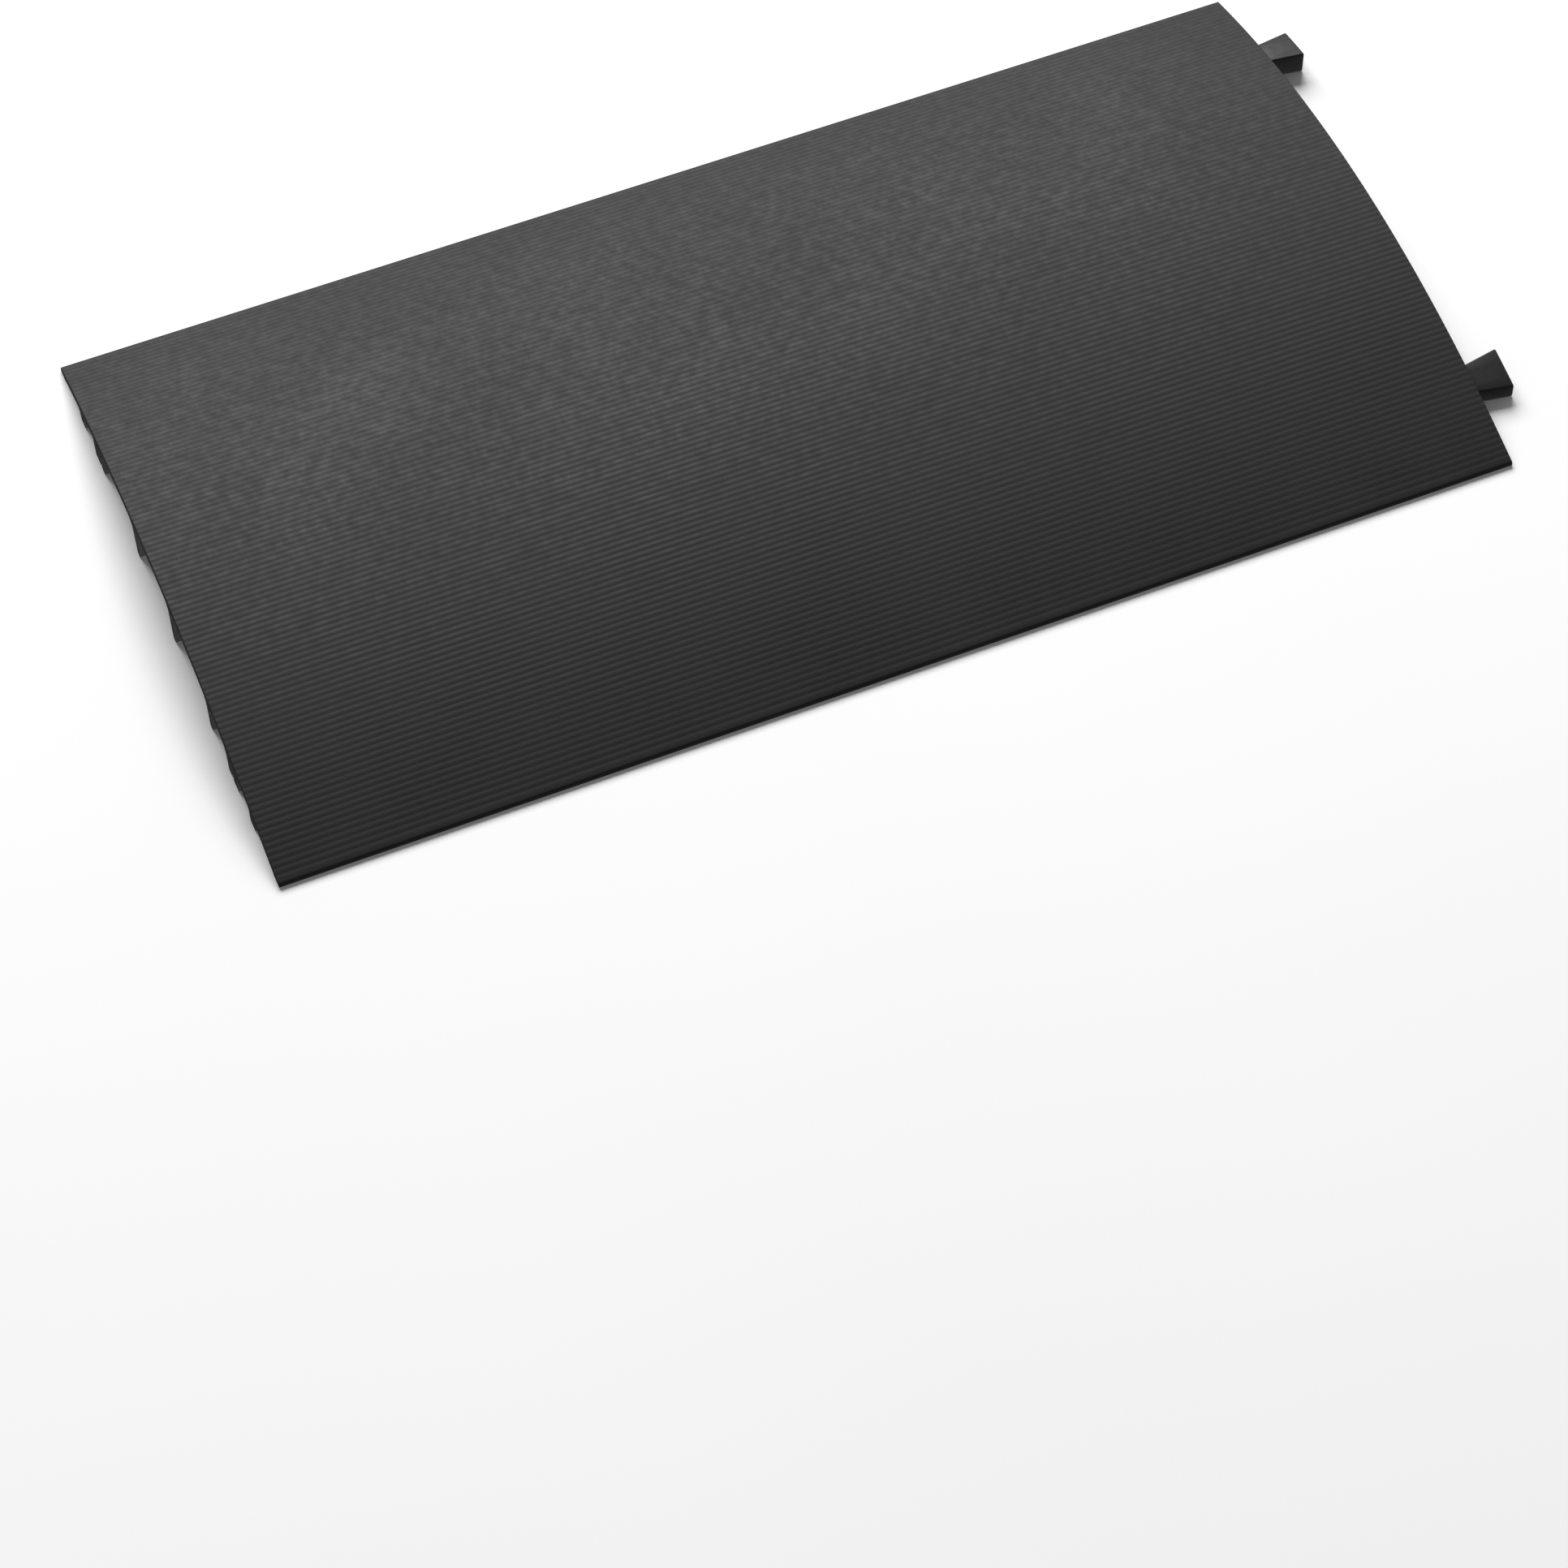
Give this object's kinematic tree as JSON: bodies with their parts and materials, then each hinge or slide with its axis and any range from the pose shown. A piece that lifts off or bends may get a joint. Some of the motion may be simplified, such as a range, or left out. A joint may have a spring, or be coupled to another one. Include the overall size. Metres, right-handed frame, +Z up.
{
  "type": "cable protector ramp",
  "caption": "Low arched drop-over cable ramp with fine lengthwise ribs on top, cable lanes between staggered divider ribs below, and dovetail lugs and pockets to join units.",
  "frame": {"origin": "on the floor, in the middle of the whole footprint including the lugs", "axes": "+X along the cable lanes towards the lugs, +Y across the ramp towards its back rim, +Z up"},
  "size_m": [0.943, 0.482, 0.0425],
  "materials": {
    "deck_skin": "matte black moulded rubber with fine ribs",
    "moulded_ribs": "satin black moulded rubber"
  },
  "bodies": {
    "root": {"deck": "deck_skin", "channel_wall_front": "moulded_ribs", "channel_wall_back": "moulded_ribs", "divider_rib_1_1": "moulded_ribs", "divider_rib_1_3": "moulded_ribs", "divider_rib_1_5": "moulded_ribs", "divider_rib_2_2": "moulded_ribs", "divider_rib_2_4": "moulded_ribs", "divider_rib_2_6": "moulded_ribs", "divider_rib_3_1": "moulded_ribs", "divider_rib_3_3": "moulded_ribs", "divider_rib_3_5": "moulded_ribs", "divider_rib_4_2": "moulded_ribs", "divider_rib_4_4": "moulded_ribs", "divider_rib_4_6": "moulded_ribs", "divider_rib_5_1": "moulded_ribs", "divider_rib_5_3": "moulded_ribs", "divider_rib_5_5": "moulded_ribs", "divider_rib_6_2": "moulded_ribs", "divider_rib_6_4": "moulded_ribs", "divider_rib_6_6": "moulded_ribs", "divider_rib_7_1": "moulded_ribs", "divider_rib_7_3": "moulded_ribs", "divider_rib_7_5": "moulded_ribs", "divider_rib_8_2": "moulded_ribs", "divider_rib_8_4": "moulded_ribs", "divider_rib_8_6": "moulded_ribs", "gusset_front_01": "moulded_ribs", "gusset_front_02": "moulded_ribs", "gusset_front_03": "moulded_ribs", "gusset_front_04": "moulded_ribs", "gusset_front_05": "moulded_ribs", "gusset_front_06": "moulded_ribs", "gusset_front_07": "moulded_ribs", "gusset_front_08": "moulded_ribs", "gusset_front_09": "moulded_ribs", "gusset_front_10": "moulded_ribs", "gusset_front_11": "moulded_ribs", "gusset_front_12": "moulded_ribs", "gusset_front_13": "moulded_ribs", "gusset_front_14": "moulded_ribs", "gusset_back_01": "moulded_ribs", "gusset_back_02": "moulded_ribs", "gusset_back_03": "moulded_ribs", "gusset_back_04": "moulded_ribs", "gusset_back_05": "moulded_ribs", "gusset_back_06": "moulded_ribs", "gusset_back_07": "moulded_ribs", "gusset_back_08": "moulded_ribs", "gusset_back_09": "moulded_ribs", "gusset_back_10": "moulded_ribs", "gusset_back_11": "moulded_ribs", "gusset_back_12": "moulded_ribs", "gusset_back_13": "moulded_ribs", "gusset_back_14": "moulded_ribs", "lug_end_front": "moulded_ribs", "lug_end_back": "moulded_ribs", "lug_pocket_front": "moulded_ribs", "lug_pocket_back": "moulded_ribs"}
  },
  "joints": []
}
